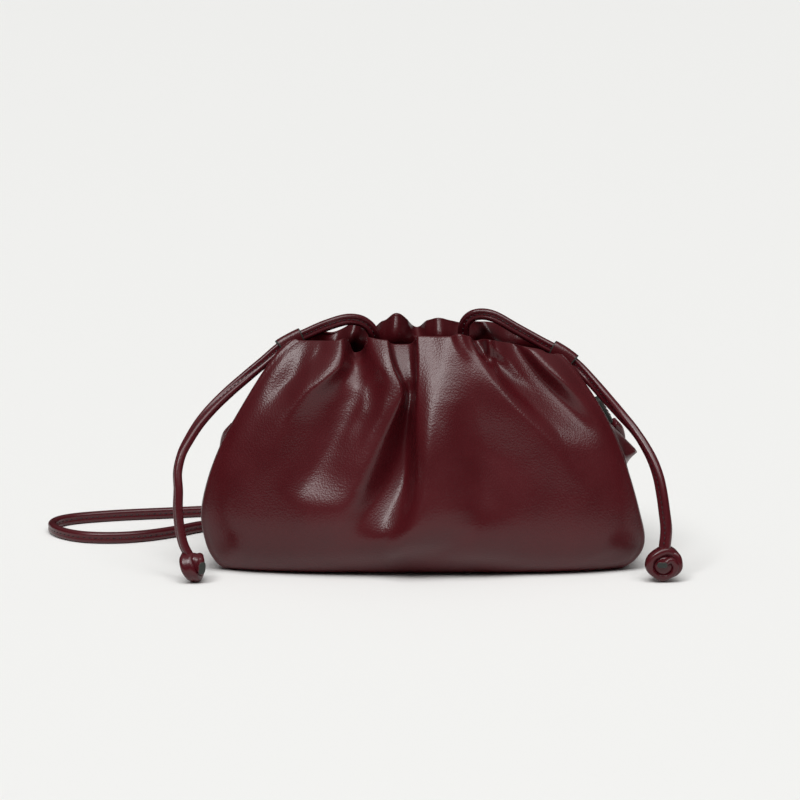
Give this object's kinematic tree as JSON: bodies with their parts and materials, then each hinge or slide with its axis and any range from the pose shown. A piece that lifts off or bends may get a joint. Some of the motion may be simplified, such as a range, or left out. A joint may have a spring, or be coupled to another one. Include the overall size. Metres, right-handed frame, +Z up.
{
  "type": "drawstring hobo bag",
  "caption": "Small gathered leather pouch bag with a drawstring rim, rolled drawcords ending in knots, and a thin rolled shoulder strap lying behind it.",
  "frame": {"origin": "middle of the base's underside, on the floor the bag stands on", "axes": "+Z up, +X along the bag's width to the right as its front is seen, -Y out of its front"},
  "size_m": [0.3336, 0.1758, 0.1297],
  "materials": {
    "oxblood_leather": "smooth glossy grain",
    "painted_edge": "satin edge paint"
  },
  "bodies": {
    "root": {"front_panel": "oxblood_leather", "back_panel": "oxblood_leather", "gusset_right": "oxblood_leather", "gusset_left": "oxblood_leather", "base_panel": "oxblood_leather", "drawcord_left": "oxblood_leather", "drawcord_right": "oxblood_leather", "keeper_left": "oxblood_leather", "keeper_right": "oxblood_leather", "knot_left": "oxblood_leather", "knot_right": "oxblood_leather", "shoulder_strap": "oxblood_leather", "strap_tab_right": "painted_edge", "strap_tab_left": "painted_edge"}
  },
  "joints": []
}
